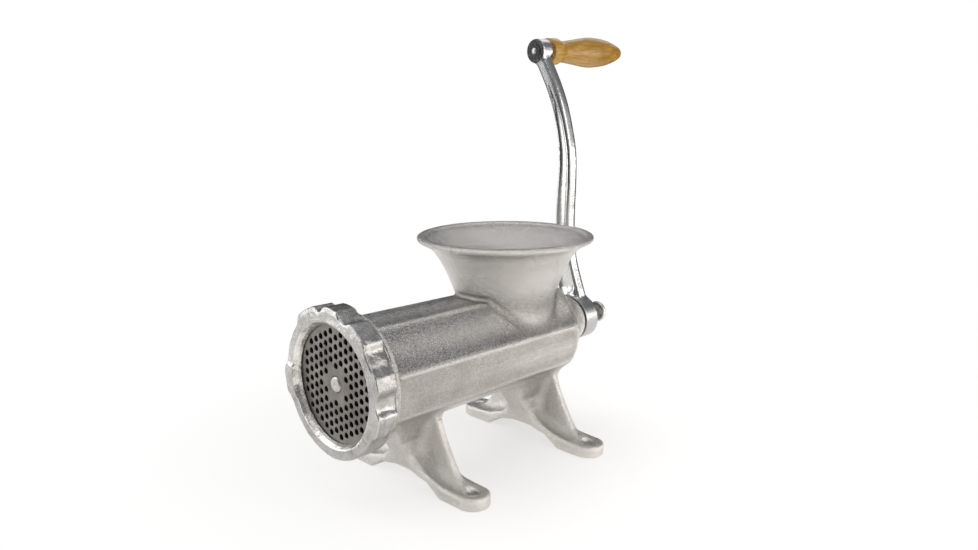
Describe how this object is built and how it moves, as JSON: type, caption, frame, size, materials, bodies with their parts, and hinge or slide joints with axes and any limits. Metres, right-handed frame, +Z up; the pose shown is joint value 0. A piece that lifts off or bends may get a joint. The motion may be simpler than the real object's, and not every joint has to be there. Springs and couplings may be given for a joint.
{
  "type": "hand crank meat grinder",
  "caption": "Bench-mounted hand meat grinder: cast barrel with funnel hopper and splayed feet, screw auger, knife, perforated plate, ring nut, and crank with a wooden grip.",
  "frame": {"origin": "bottom of the feet, in the middle of the object's bounding box", "axes": "+Z up, -Y the way the mince leaves through the plate, +Y towards the crank's grip"},
  "size_m": [0.1684, 0.4136, 0.369],
  "materials": {
    "tinned_casting": "hot-tinned cast iron, grainy satin",
    "ring_casting": "hot-tinned, bright and uneven",
    "auger_casting": "tinned casting",
    "plate_steel": "ground tool steel, warm grey",
    "tool_steel": "machined steel",
    "nickel_plate": "bright nickel plating over a forging",
    "screw_plate": "nickel plated",
    "bush_bronze": "turned bronze",
    "washer_fibre": "hard fibre",
    "grip_wood": "clear varnished hardwood"
  },
  "bodies": {
    "casing": {"body_casting": "tinned_casting", "plate_key": "tool_steel", "rear_bush": "bush_bronze", "thrust_washer": "washer_fibre"},
    "drive": {"auger": "auger_casting", "auger_stud": "tool_steel", "knife": "tool_steel", "crank_arm": "nickel_plate", "grip_spindle": "nickel_plate", "grip_washer": "screw_plate"},
    "handle": {"grip": "grip_wood"},
    "plate": {"grinding_plate": "plate_steel"},
    "ring": {"ring_nut": "ring_casting"},
    "washer": {"crank_washer": "screw_plate"},
    "wing": {"wing_screw": "screw_plate"}
  },
  "joints": [
    {"name": "crank_turn", "type": "hinge", "parent": "casing", "child": "drive", "pos_m": [0, 0.0832, 0.1011], "axis": [0, -1, 0], "continuous": true},
    {"name": "grip_spin", "type": "hinge", "parent": "drive", "child": "handle", "pos_m": [-0.0512, 0.1432, 0.3543], "axis": [0, 1, 0], "continuous": true},
    {"name": "plate_lift", "type": "slide", "parent": "casing", "child": "plate", "axis": [0, -1, 0], "range_m": [0, 0.0161]},
    {"name": "ring_unscrew", "type": "hinge", "parent": "plate", "child": "ring", "pos_m": [0, -0.1968, 0.1011], "axis": [0, -1, 0], "range_deg": [0, 1440]},
    {"name": "washer_lift", "type": "slide", "parent": "drive", "child": "washer", "axis": [0, 1, 0], "range_m": [0, 0.0256]},
    {"name": "wing_unscrew", "type": "hinge", "parent": "washer", "child": "wing", "pos_m": [0, 0.0982, 0.1011], "axis": [0, 1, 0], "range_deg": [0, 6120]}
  ],
  "couplings": [
    {"joint": "plate_lift", "follows": "ring_unscrew", "m_per_rad": 0.00063662},
    {"joint": "washer_lift", "follows": "wing_unscrew", "m_per_rad": 0.00023873}
  ]
}
